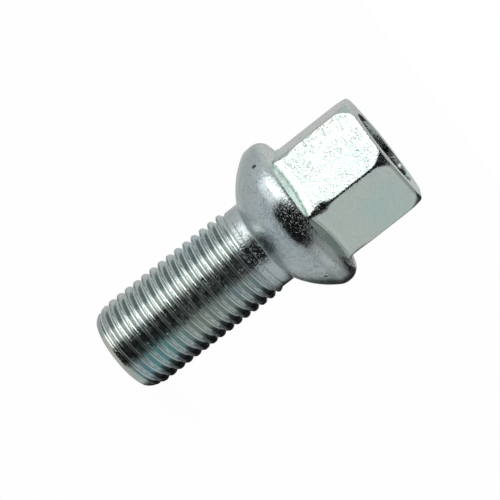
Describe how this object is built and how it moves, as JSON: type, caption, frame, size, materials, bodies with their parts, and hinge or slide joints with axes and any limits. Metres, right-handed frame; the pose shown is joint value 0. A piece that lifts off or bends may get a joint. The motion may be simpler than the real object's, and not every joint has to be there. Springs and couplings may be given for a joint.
{
  "type": "wheel bolt",
  "caption": "Wheel bolt with a threaded shank, a ball seat collar and a hexagon head with a round recess in its end.",
  "frame": {"origin": "centre of the flat at the thread end, on which the bolt stands", "axes": "+Z along the bolt's axis from the thread end to the head; +X through a corner of the hexagon"},
  "size_m": [0.023, 0.023, 0.047],
  "materials": {
    "zinc_plated_steel": "clear zinc plate over forged steel"
  },
  "bodies": {
    "root": {"wheel_bolt": "zinc_plated_steel"}
  },
  "joints": []
}
